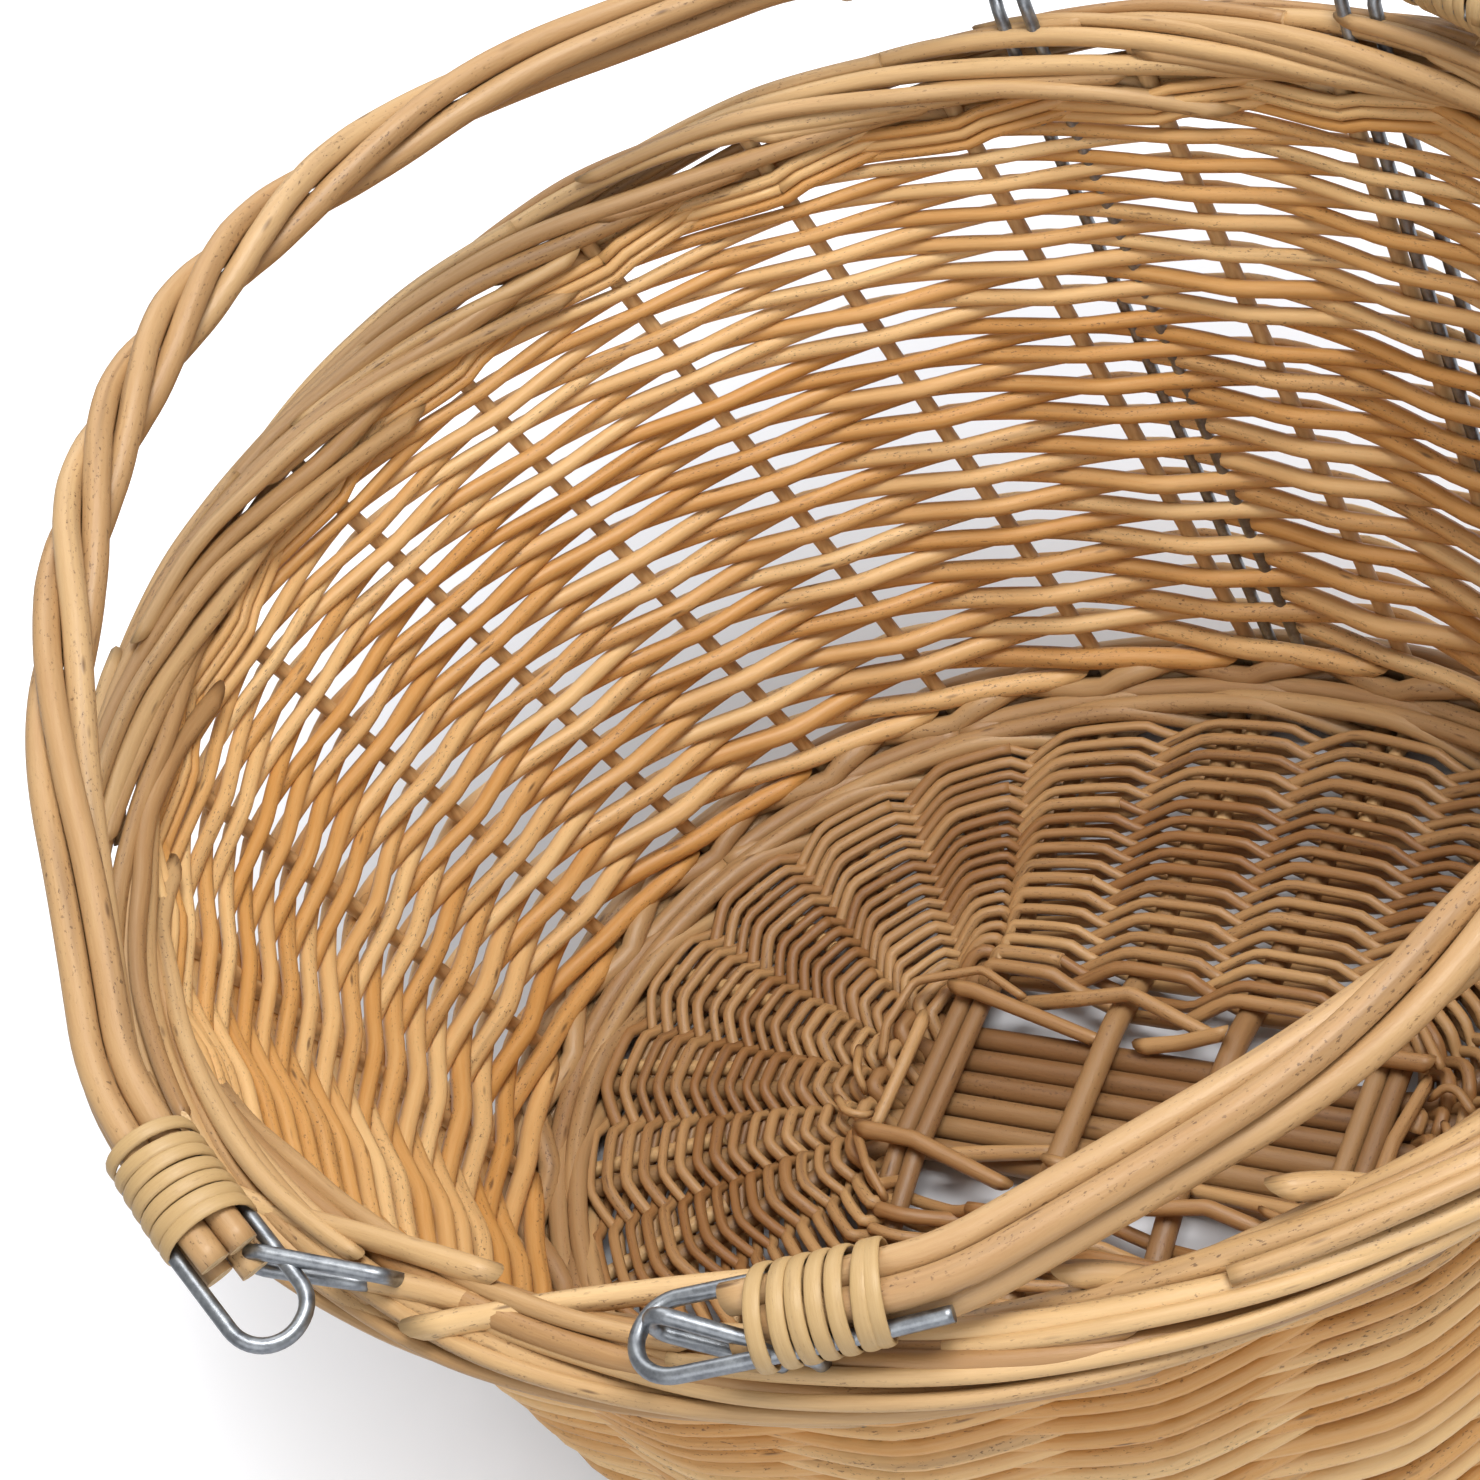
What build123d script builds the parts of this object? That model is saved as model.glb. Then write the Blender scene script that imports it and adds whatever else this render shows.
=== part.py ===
from build123d import *
import math
import os

# A flared oval willow shopping basket with two swing handles, folded outward.
# Millimetres, +Z up, origin on the floor under the middle of the basket.
# X is the long way of the oval and -Y is the front.

# Oval line that the side stakes follow, at the root and at the rim
root_half_x = 171.0
root_half_y = 146.0
root_z = 8.0
rim_half_x = 192.0
rim_half_y = 181.0
rim_z = 210.0

# Bands of weave, measured from that line
foot_height = 22.0
foot_inside = 7.0
foot_outside = 8.0
foot_chamfer = 5.0
wall_thickness = 11.0
border_height = 17.0
border_inside = 7.0
border_outside = 13.0
border_chamfer = 4.0
base_bottom_z = 1.6
base_thickness = 12.4

# Opening of the base weave round the crossed sticks
cross_half_x = 66.0
cross_half_y = 30.0
cross_corner = 12.0

# Sticks of the base
long_stick_diameter = 6.8
long_stick_pitch = 7.07
long_stick_z = 6.0
long_fan_x = 68.0
single_stick_diameter = 6.8
pair_stick_diameter = 5.2
pair_pitch = 5.4
single_stick_x = 16.7
pair_stick_x = 57.5
cross_gap = 0.3
short_drop_y = 24.0
short_fan_y = 46.0
stick_end_gap = 1.6
stick_bend_radius = 25.0

# Side stakes
stake_diameter = 4.2
stake_butt_length = 45.0
stake_beside_gap = 0.8
stake_bend_radius = 12.0
stake_lean_degrees = 12.0
stake_below_rim = 6.0

# Wire anchors
wire_diameter = 3.2
anchor_half_width = 3.8
anchor_bend_radius = 3.5
anchor_outward = 3.0
anchor_root_z = 12.0
anchor_beside_stake = 8.6
anchor_near_top = 7.24
anchor_far_top = 22.38
anchor_knee_rise = 5.0
slack_front_left = 4.0
slack_front_right = 4.0
slack_back = 3.0

# Handles
hinge_past_knee = 0.77
hinge_shift_left = 6.5
hinge_shift_right = 14.5
tilt_left_degrees = 67.0
tilt_right_degrees = 90.0
rest_gap = 0.4
handle_lean_degrees = 27.7
handle_leg = 57.0
shoulder_u = 102.6
shoulder_v = 99.5
handle_rise = 147.8
leg_corner_radius = 50.0
shoulder_radius = 150.0
crown_radius = 160.0
rod_diameter = 6.2
rod_gap = 0.2
rod_start = 19.2
rod_stagger = 1.1

# Wire eyes and cane bindings
eye_corner_radius = 4.5
eye_groove_gap = 0.1
eye_reach_long = 47.0
eye_reach_short = 44.5
binding_diameter = 2.4
binding_pitch = 3.2
binding_turns = 7
binding_start = 20.6
binding_seat_gap = 0.1
quarter_turns = 4
gap_samples_per_quarter = 6

# Fits
clearance = 0.2
overrun = 1.0

# Counts and angles
stake_count = 24
sticks_each_way = 6
stake_step = 360 / stake_count
anchor_stakes = {"front_left": 17, "front_right": 19, "back_left": 7, "back_right": 5}

os.makedirs("parts", exist_ok=True)

stake_radius = stake_diameter / 2
wire_radius = wire_diameter / 2
rod_radius = rod_diameter / 2
border_bottom_z = rim_z - border_height
rod_offset = rod_radius + rod_gap / 2
groove_reach = rod_radius + wire_radius + eye_groove_gap
eye_offset = rod_offset + math.sqrt(groove_reach**2 - rod_offset**2)
binding_radius = eye_offset + wire_radius + binding_seat_gap + binding_diameter / 2
hinge_z = rim_z + rest_gap + binding_radius + binding_diameter / 2


def write(shape, node):
    """One piece, written under its own name."""
    export_step(shape, f"parts/{node}.step")
    print(node, "volume", round(shape.volume, 1))


def oval_point(angle, height, outward=0):
    """A point of the stake oval at an angle in degrees and a height."""
    share = (height - root_z) / (rim_z - root_z)
    half_x = root_half_x + (rim_half_x - root_half_x) * share + outward
    half_y = root_half_y + (rim_half_y - root_half_y) * share + outward
    turn = math.radians(angle)
    return Vector(half_x * math.cos(turn), half_y * math.sin(turn), height)


def oval_face(height, outward):
    """The stake oval as a level face, moved outward."""
    half_x = oval_point(0, height, outward).X
    half_y = oval_point(90, height, outward).Y
    return Plane.XY.offset(height) * Ellipse(half_x, half_y)


def oval_block(levels):
    """A solid through ovals, each a height and a distance outward."""
    return loft([oval_face(height, outward) for height, outward in levels], ruled=True)


def band(outer_levels, inward):
    """A closed ring of weave with the given outer levels and an even inside."""
    bottom = outer_levels[0][0] - overrun
    top = outer_levels[-1][0] + overrun
    return oval_block(outer_levels) - oval_block([(bottom, -inward), (top, -inward)])


def carve(solid, channels):
    """A band of weave less the channels of what runs in it."""
    for channel in channels:
        solid -= channel
    return solid


def tube(path, radius):
    """A round rod along a path."""
    return sweep(Plane(origin=path @ 0, z_dir=path % 0) * Circle(radius), path=path)


def straight_tube(start, end, radius, longer=0):
    """A straight round rod, made longer at both ends."""
    along = (end - start).normalized() * longer
    return tube(Line(start - along, end + along), radius)


# Sticks of the base, each a bent rod that fans out at its ends
def stick_end(angle):
    """Where the middle of a base stick stops, just inside the foot."""
    return oval_point(angle, root_z, -foot_inside - stick_end_gap)


def long_stick_points(row):
    """The bends of a stick that runs along X."""
    place = row - (sticks_each_way - 1) / 2
    y = place * long_stick_pitch
    angle = place * stake_step
    left_knot = Vector(-long_fan_x, y, long_stick_z)
    right_knot = Vector(long_fan_x, y, long_stick_z)
    return [stick_end(180 - angle), left_knot, right_knot, stick_end(angle)]


short_stick_z = long_stick_z + (long_stick_diameter + single_stick_diameter) / 2 + cross_gap
short_sticks = [
    (-pair_stick_x - pair_pitch / 2, pair_stick_diameter),
    (-pair_stick_x + pair_pitch / 2, pair_stick_diameter),
    (-single_stick_x, single_stick_diameter),
    (single_stick_x, single_stick_diameter),
    (pair_stick_x - pair_pitch / 2, pair_stick_diameter),
    (pair_stick_x + pair_pitch / 2, pair_stick_diameter),
]


def short_stick_points(row):
    """The bends of a stick that runs along Y, over the long ones."""
    x = short_sticks[row][0]
    angle = 90 - (row - (sticks_each_way - 1) / 2) * stake_step
    front = [stick_end(-angle), Vector(x, -short_fan_y, root_z), Vector(x, -short_drop_y, short_stick_z)]
    back = [Vector(x, short_drop_y, short_stick_z), Vector(x, short_fan_y, root_z), stick_end(angle)]
    return front + back


sticks = []
for row in range(sticks_each_way):
    sticks.append((f"base_long_stick_{row + 1}", long_stick_points(row), long_stick_diameter / 2))
for row in range(sticks_each_way):
    sticks.append((f"base_short_stick_{row + 1}", short_stick_points(row), short_sticks[row][1] / 2))

stick_channels = []
for node, points, radius in sticks:
    path = FilletPolyline(*points, radius=stick_bend_radius)
    write(tube(path, radius), node)
    stick_channels.append(tube(path, radius + clearance))


# Side stakes, one beside each end of a base stick, bent up into the wall
def oval_turn(point):
    """The oval angle of a point, in degrees."""
    turn = math.atan2(point.Y / oval_point(90, point.Z).Y, point.X / oval_point(0, point.Z).X)
    return math.degrees(turn) % 360


def clockwise_of(point, distance):
    """A place beside a point of the stake oval, clockwise along it."""
    stretch = oval_point(0, point.Z).X / oval_point(90, point.Z).Y
    return point + Vector(point.Y * stretch, -point.X / stretch, 0).normalized() * distance


def stake_corner(start, along):
    """Where a level line from inside meets the root oval."""
    ax, ay = along.X / root_half_x, along.Y / root_half_y
    sx, sy = start.X / root_half_x, start.Y / root_half_y
    square = ax**2 + ay**2
    middle = ax * sx + ay * sy
    reach = (-middle + math.sqrt(middle**2 - square * (sx**2 + sy**2 - 1))) / square
    return start + along * reach


def stake_points(end, knot, stick_radius):
    """Butt, corner and top of the stake beside one stick end."""
    along = Vector(end.X - knot.X, end.Y - knot.Y, 0).normalized()
    clockwise = Vector(along.Y, -along.X, 0)
    aside = stick_radius + stake_radius + stake_beside_gap
    start = end - along * stake_butt_length + clockwise * aside
    top = oval_point(oval_turn(end) + stake_lean_degrees, rim_z - stake_below_rim)
    return [start, stake_corner(start, along), top]


stakes = []
for node, points, radius in sticks:
    for end, knot in ((points[0], points[1]), (points[-1], points[-2])):
        stakes.append((oval_turn(end), stake_points(end, knot, radius)))
stakes.sort(key=lambda stake: stake[0])

stake_channels = []
for number, (angle, points) in enumerate(stakes):
    start, corner, top = points
    write(tube(FilletPolyline(start, corner, top, radius=stake_bend_radius), stake_radius),
          f"side_stake_{number + 1:02d}")
    inner = start - (corner - start).normalized() * clearance
    upper = top + (top - corner).normalized() * clearance
    path = FilletPolyline(inner, corner, upper, radius=stake_bend_radius)
    stake_channels.append(tube(path, stake_radius + clearance))


# Wire anchors, hairpins that stand in the wall with their bend above the border
def anchor_stake(place):
    """Butt, corner and top of the stake that an anchor stands beside."""
    return stakes[anchor_stakes[place] - 1][1]


def anchor_knee(place, beside_top):
    """Where an anchor comes out of the border, clockwise of its stake."""
    beside = clockwise_of(anchor_stake(place)[2], beside_top)
    return oval_point(oval_turn(beside), rim_z + anchor_knee_rise, anchor_outward)


def hinge_frame(front_knee, back_knee, shift):
    """Front and back ends of a handle's axis, and its direction."""
    half_y = max(-front_knee.Y, back_knee.Y) + hinge_past_knee
    front = Vector(front_knee.X - shift, -half_y, hinge_z)
    back = Vector(back_knee.X, half_y, hinge_z)
    return front, back, (back - front).normalized()


def anchor_points(place, knee, hinge_point, hinge_along, slack):
    """The bends of one hairpin and the feet and knees of its two legs."""
    across = Vector(hinge_along.Y, -hinge_along.X, 0)
    beside = clockwise_of(anchor_stake(place)[1], anchor_beside_stake)
    foot = oval_point(oval_turn(beside), anchor_root_z)
    toward = (hinge_point - knee).normalized()
    bend = hinge_point + toward * slack
    lift = toward.cross(hinge_along).normalized()
    lift = lift if lift.dot(across) > 0 else lift * -1
    miter = (across + lift) * (anchor_half_width / (1 + across.dot(lift)))
    legs = [(foot + across * anchor_half_width * way, knee + miter * way) for way in (1, -1)]
    shoulders = [bend + lift * anchor_half_width * way + toward * anchor_half_width for way in (1, -1)]
    points = [legs[0][0], legs[0][1], shoulders[0], shoulders[1], legs[1][1], legs[1][0]]
    return points, legs


knee_front_left = anchor_knee("front_left", anchor_near_top)
knee_front_right = anchor_knee("front_right", anchor_far_top)
knee_back_left = anchor_knee("back_left", anchor_far_top)
knee_back_right = anchor_knee("back_right", anchor_near_top)
left_front, left_back, left_along = hinge_frame(knee_front_left, knee_back_left, hinge_shift_left)
right_front, right_back, right_along = hinge_frame(knee_front_right, knee_back_right, hinge_shift_right)
anchors = [
    ("front_left", knee_front_left, left_front, left_along, slack_front_left),
    ("front_right", knee_front_right, right_front, right_along, slack_front_right),
    ("back_left", knee_back_left, left_back, left_along, slack_back),
    ("back_right", knee_back_right, right_back, right_along, slack_back),
]

wire_channels = []
for place, knee, hinge_point, along, slack in anchors:
    points, legs = anchor_points(place, knee, hinge_point, along, slack)
    write(tube(FilletPolyline(*points, radius=anchor_bend_radius), wire_radius), f"anchor_{place}")
    for foot, knee in legs:
        wire_channels.append(straight_tube(foot, knee, wire_radius + clearance, clearance))

# Bands of weave, with a channel for each stick, stake and wire that runs in them
opening = Plane.XY * RectangleRounded(2 * cross_half_x, 2 * cross_half_y, cross_corner)
base_top_z = base_bottom_z + base_thickness
base_edge = -foot_inside - clearance
base_weave = oval_block([(base_bottom_z, base_edge), (base_top_z, base_edge)])
base_weave -= extrude(opening, amount=base_top_z + overrun)
write(carve(base_weave, stick_channels + stake_channels), "base_weave")

foot_levels = [
    (0, foot_outside - foot_chamfer),
    (foot_chamfer, foot_outside),
    (foot_height, foot_outside),
]
wall_channels = stake_channels + wire_channels
write(carve(band(foot_levels, foot_inside), wall_channels), "foot_wale")

half_wall = wall_thickness / 2
wall_levels = [(foot_height + clearance, half_wall), (border_bottom_z - clearance, half_wall)]
write(carve(band(wall_levels, half_wall), wall_channels), "wall_weave")

border_levels = [
    (border_bottom_z, border_outside - border_chamfer),
    (border_bottom_z + border_chamfer, border_outside),
    (rim_z - border_chamfer, border_outside),
    (rim_z, border_outside - border_chamfer),
]
write(carve(band(border_levels, border_inside), wall_channels), "border")


# Handles, drawn in their own plane: u along the hinge axis, v away from it
def handle_plane(front, back, along, side, tilt):
    """The plane of a handle that is tilted outward from upright."""
    outward = Vector(along.Y, -along.X, 0) * side
    turn = math.radians(tilt)
    upward = outward * math.sin(turn) + Vector(0, 0, math.cos(turn))
    return Plane(origin=(front + back) / 2, x_dir=along, z_dir=along.cross(upward))


def mirrored(points):
    """The same points at the other end of the handle, in reverse order."""
    return [Vector(-point.X, point.Y) for point in reversed(points)]


lean = math.radians(handle_lean_degrees)
leg_along = Vector(math.sin(lean), math.cos(lean))
leg_across = Vector(math.cos(lean), -math.sin(lean))
outer_tangent = eye_corner_radius * math.tan((math.pi / 2 + lean) / 2)
inner_tangent = eye_corner_radius * math.tan((math.pi / 2 - lean) / 2)
eye_shift = (outer_tangent - inner_tangent) / 2


def leg_base(half_span):
    """Where the middle line of a handle's first leg meets its hinge axis."""
    return Vector(-half_span - eye_shift, 0)


def handle_path(half_span, start):
    """The middle line of a handle, from one cut end to the other."""
    base = leg_base(half_span)
    first = [base + leg_along * start, base + leg_along * handle_leg, Vector(-shoulder_u, shoulder_v)]
    points = first + [Vector(0, handle_rise)] + mirrored(first)
    radii = [leg_corner_radius, shoulder_radius, crown_radius, shoulder_radius, leg_corner_radius]
    return FilletPolyline(*points, radius=radii)


def eye_solid(half_span):
    """A wire loop through the anchor, with a leg in a groove on each side."""
    base = leg_base(half_span)
    reach = eye_offset / math.cos(lean)
    outer_end = base - leg_across * eye_offset + leg_along * eye_reach_short
    inner_end = base + leg_across * eye_offset + leg_along * eye_reach_long
    corners = [base - Vector(reach, 0), base + Vector(reach, 0)]
    path = FilletPolyline(outer_end, *corners, inner_end, radius=eye_corner_radius)
    return tube(path, wire_radius)


def helix_point(half_span, quarters):
    """A point of the binding's middle line and its direction."""
    turn = quarters * 2 * math.pi / quarter_turns
    middle = leg_base(half_span) + leg_along * (binding_start + binding_pitch * quarters / quarter_turns)
    out = Vector(0, 0, 1) * math.cos(turn) + leg_across * math.sin(turn)
    round_way = Vector(0, 0, -1) * math.sin(turn) + leg_across * math.cos(turn)
    climb = binding_pitch / (2 * math.pi)
    return middle + out * binding_radius, (round_way * binding_radius + leg_along * climb).normalized()


def biarc(start, start_way, end, end_way):
    """Two tangent arcs from one point and direction to another."""
    gap = end - start
    ways = start_way + end_way
    spread = 2 - 2 * start_way.dot(end_way)
    lean_in = gap.dot(ways)
    reach = (-lean_in + math.sqrt(lean_in**2 + spread * gap.dot(gap))) / spread
    joint = (start + start_way * reach + end - end_way * reach) / 2
    first = TangentArc(start, joint, tangent=start_way)
    return [first, TangentArc(joint, end, tangent=first % 1)]


def binding_edges(half_span):
    """The binding's middle line: a straight end, the turns and a straight end."""
    marks = [helix_point(half_span, quarters) for quarters in range(binding_turns * quarter_turns + 1)]
    first, first_way = marks[0]
    last, last_way = marks[-1]
    edges = [Line(first - first_way * binding_diameter, first)]
    for here, there in zip(marks, marks[1:]):
        edges += biarc(here[0], here[1], there[0], there[1])
    edges.append(Line(last, last + last_way * binding_diameter))
    return edges


def least_gap(edges):
    """The least space between two turns of a binding, measured on points."""
    steps = range(gap_samples_per_quarter)
    points = [edge @ (step / gap_samples_per_quarter) for edge in edges for step in steps]
    apart = quarter_turns * gap_samples_per_quarter
    gaps = [(points[i] - points[j]).length for i in range(len(points)) for j in range(i + apart, len(points))]
    return min(gaps) - binding_diameter


def other_end(shape):
    """The same piece at the other end of the handle."""
    return shape.mirror(Plane.YZ)


handles = [
    ("handle_left", left_front, left_back, left_along, -1, tilt_left_degrees),
    ("handle_right", right_front, right_back, right_along, 1, tilt_right_degrees),
]
for name, front, back, along, side, tilt in handles:
    plane = handle_plane(front, back, along, side, tilt)
    half_span = (back - front).length / 2
    corners = [(1, 1), (-1, 1), (-1, -1), (1, -1)]
    for number, (across_way, level_way) in enumerate(corners):
        path = handle_path(half_span, rod_start + rod_stagger * number)
        centre = path @ 0 + leg_across * rod_offset * across_way + Vector(0, 0, rod_offset) * level_way
        rod = sweep(Plane(origin=centre, z_dir=path % 0) * Circle(rod_radius), path=path)
        write(plane * rod, f"{name}_rod_{number + 1}")
    eye = eye_solid(half_span)
    write(plane * eye, f"{name}_eye_front")
    write(plane * other_end(eye), f"{name}_eye_back")
    edges = binding_edges(half_span)
    print(name, "binding: least gap to itself", round(least_gap(edges), 2))
    binding = tube(Wire(edges), binding_diameter / 2)
    write(plane * binding, f"{name}_binding_front")
    write(plane * other_end(binding), f"{name}_binding_back")
    print(name, "hinge", front, back)
print("hinge height", round(hinge_z, 2), "binding outside radius", binding_radius + binding_diameter / 2)
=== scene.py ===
# %% [markdown]
# A wicker shopping basket, dressed rod by rod.
# The CAD model gives closed bands of weave. Here each band is replaced by the
# real rods that make it: base sticks, paired base weave, foot wale, wall weave,
# border, and twisted handle rods with their cane bindings. The wires are bent
# again from round rod, and the side stakes keep their CAD shape.

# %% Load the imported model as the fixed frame
import math

import bpy
import numpy as np
from mathutils import Matrix, Vector


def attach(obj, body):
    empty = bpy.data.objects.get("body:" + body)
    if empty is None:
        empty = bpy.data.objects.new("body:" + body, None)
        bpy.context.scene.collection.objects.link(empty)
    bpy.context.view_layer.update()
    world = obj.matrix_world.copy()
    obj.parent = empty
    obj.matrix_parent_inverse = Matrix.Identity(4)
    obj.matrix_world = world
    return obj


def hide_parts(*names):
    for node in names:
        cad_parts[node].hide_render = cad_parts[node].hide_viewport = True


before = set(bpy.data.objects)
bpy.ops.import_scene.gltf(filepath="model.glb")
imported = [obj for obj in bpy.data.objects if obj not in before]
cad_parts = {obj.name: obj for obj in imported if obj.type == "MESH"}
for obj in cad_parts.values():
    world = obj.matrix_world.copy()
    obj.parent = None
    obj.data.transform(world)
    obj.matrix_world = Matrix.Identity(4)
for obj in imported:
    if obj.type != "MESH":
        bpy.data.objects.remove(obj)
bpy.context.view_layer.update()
MM = 0.001
LUCK = np.random.default_rng(24)

# %% [markdown]
# Every finish is made of shader nodes. One small helper adds the nodes, sets their
# values and joins them.


# %% A helper that adds and joins shader nodes
class Nodes:
    """A short way to write a node tree."""

    def __init__(self, tree):
        self.tree = tree

    def feed(self, node, inputs):
        """Sets or joins the inputs of a node."""
        for key, value in dict(inputs).items():
            if isinstance(value, bpy.types.NodeSocket):
                self.tree.links.new(value, node.inputs[key])
            else:
                node.inputs[key].default_value = value
        return node

    def add(self, kind, inputs=(), **settings):
        """Adds a node, sets its values and joins its inputs."""
        node = self.tree.nodes.new(kind)
        for key, value in settings.items():
            setattr(node, key, value)
        return self.feed(node, inputs)

    def math(self, operation, first, second=0.0):
        """One sum of two values."""
        return self.add("ShaderNodeMath", {0: first, 1: second}, operation=operation).outputs[0]

    def ramp(self, value, low, high):
        """A value taken from 0 at low to 1 at high."""
        inputs = {"Value": value, "From Min": low, "From Max": high}
        return self.add("ShaderNodeMapRange", inputs).outputs["Result"]

    def noise(self, place, scale, detail, roughness=0.5):
        """A cloudy value from 0 to 1."""
        inputs = {"Vector": place, "Scale": scale, "Detail": detail, "Roughness": roughness}
        return self.add("ShaderNodeTexNoise", inputs).outputs["Fac"]

    def mix(self, factor, first, second):
        """Two colours mixed."""
        inputs = {0: factor, 6: first, 7: second}
        return self.add("ShaderNodeMix", inputs, data_type="RGBA").outputs[2]


def new_finish(name):
    """A new material, a helper for its nodes, and its main shader."""
    material = bpy.data.materials.new(name)
    material.use_nodes = True
    return material, Nodes(material.node_tree), material.node_tree.nodes["Principled BSDF"]


print("node helper ready")

# %% [markdown]
# The photograph looks steeply down from the front right, and the camera is rolled
# so that the near rim runs across the lower left. The lens is a short telephoto
# and the frame is cut out of a wider view, so the camera also has a small shift.
# For the camera alone, the floor away from the basket and the sky are pure white. Near the basket the floor
# gets no such glow, which is a painted shade round and under the basket.

# %% Camera, floor and light
PHOTO_PIXELS = 1480
CAMERA_PLACE = Vector((327.46, -395.60, 680.73)) * MM
CAMERA_AZIMUTH = math.radians(48.96)
CAMERA_ELEVATION = math.radians(44.04)
CAMERA_ROLL = math.radians(31.09)
FOCAL_PIXELS = 3296.9
MIDDLE_PIXEL = (596.8, 846.7)
SENSOR_MM = 36
WHITE = (1, 1, 1, 1)
FLOOR_SIZE = 12
FLOOR_COLOUR = (0.66, 0.67, 0.70, 1)
# Painted shade: within this reach of this centre the floor gets no camera glow, so it looks shaded round and
# under the basket.
PAINTED_SHADE_CENTRE = (-0.1, 0.12, 0)
PAINTED_SHADE_REACH = (0.16, 0.35)
GLOW_STRENGTH = 0.6
SKY_LIGHT = 0.48
SKY_SEEN = 1.0
LAMPS = (
    ("key", (0.65, 0.14, 1.75), 0.8, 31, (1, 0.99, 0.98)),
    ("fill", (0.45, -1.5, 1.0), 1.4, 9, (0.97, 0.98, 1)),
    ("back", (-0.8, 1.0, 1.5), 1.0, 9, (1, 1, 1)),
)


def place_camera():
    """The photograph's camera, from its place, its angles and its lens."""
    level = Vector((math.cos(CAMERA_AZIMUTH), math.sin(CAMERA_AZIMUTH), 0))
    back = Vector((math.sin(CAMERA_AZIMUTH) * math.cos(CAMERA_ELEVATION),
                   -math.cos(CAMERA_AZIMUTH) * math.cos(CAMERA_ELEVATION),
                   math.sin(CAMERA_ELEVATION)))
    up = back.cross(level)
    right = level * math.cos(CAMERA_ROLL) - up * math.sin(CAMERA_ROLL)
    top = level * math.sin(CAMERA_ROLL) + up * math.cos(CAMERA_ROLL)
    data = bpy.data.cameras.new("camera")
    data.sensor_width = SENSOR_MM
    data.lens = FOCAL_PIXELS / PHOTO_PIXELS * SENSOR_MM
    data.shift_x = (PHOTO_PIXELS / 2 - MIDDLE_PIXEL[0]) / PHOTO_PIXELS
    data.shift_y = (MIDDLE_PIXEL[1] - PHOTO_PIXELS / 2) / PHOTO_PIXELS
    camera = bpy.data.objects.new("camera", data)
    turn = Matrix((right, top, back)).transposed().to_4x4()
    camera.matrix_world = Matrix.Translation(CAMERA_PLACE) @ turn
    bpy.context.scene.collection.objects.link(camera)
    bpy.context.scene.camera = camera


def floor_material():
    """A pale matt floor that the camera sees a little whiter away from the basket, with no glow near it as
    painted shade round and under the basket.
    """
    material, n, shader = new_finish("floor")
    seen = n.add("ShaderNodeLightPath").outputs["Is Camera Ray"]
    place = n.add("ShaderNodeNewGeometry").outputs["Position"]
    away = n.add("ShaderNodeVectorMath", {0: place, 1: PAINTED_SHADE_CENTRE}, operation="DISTANCE").outputs["Value"]
    inputs = {"Value": away, "From Min": PAINTED_SHADE_REACH[0], "From Max": PAINTED_SHADE_REACH[1], "To Max": GLOW_STRENGTH}
    outside = n.add("ShaderNodeMapRange", inputs, interpolation_type="SMOOTHSTEP").outputs["Result"]
    glow = n.math("MULTIPLY", seen, outside)
    n.feed(shader, {"Base Color": FLOOR_COLOUR, "Roughness": 0.8})
    n.feed(shader, {"Emission Color": WHITE, "Emission Strength": glow})
    return material


def add_lamp(name, place, size, power, colour):
    """A soft square lamp that looks at the middle of the basket."""
    data = bpy.data.lights.new(name, "AREA")
    data.size = size
    data.energy = power
    data.color = colour
    lamp = bpy.data.objects.new(name, data)
    lamp.location = place
    lamp.rotation_euler = (Vector((0, 0, 0.1)) - Vector(place)).to_track_quat("-Z", "Y").to_euler()
    bpy.context.scene.collection.objects.link(lamp)


def add_world():
    """White all round: pure white for the camera, and softer as light."""
    world = bpy.data.worlds.new("world")
    world.use_nodes = True
    n = Nodes(world.node_tree)
    seen = n.add("ShaderNodeLightPath").outputs["Is Camera Ray"]
    inputs = {"Value": seen, "To Min": SKY_LIGHT, "To Max": SKY_SEEN}
    strength = n.add("ShaderNodeMapRange", inputs).outputs["Result"]
    n.feed(world.node_tree.nodes["Background"], {"Color": WHITE, "Strength": strength})
    bpy.context.scene.world = world


place_camera()
bpy.ops.mesh.primitive_plane_add(size=FLOOR_SIZE, location=(0, 0, 0))
floor = bpy.context.object
floor.name = "floor"
floor.data.materials.append(floor_material())
for lamp in LAMPS:
    add_lamp(*lamp)
add_world()
bpy.context.scene.view_settings.view_transform = "Standard"
print("camera at", CAMERA_PLACE)

# %% [markdown]
# All willow is one kind of surface: a round rod with a satin skin, fine streaks
# along it, a few paired dark bud marks, and a tone of its own. The streaks follow
# each rod's own length, so the rods carry a UV map whose second value is the
# distance along the rod, and an attribute with the rod's tone. One node group
# makes the colour, the roughness and the height from these.


# %% Willow skin as a node group
def add_sockets(tree, in_out, sockets):
    """The named sockets of a node group, with their first values."""
    for name, kind, value in sockets:
        socket = tree.interface.new_socket(name=name, in_out=in_out, socket_type=kind)
        if value is not None:
            socket.default_value = value


TONE_SHIFT = 57.0


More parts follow.
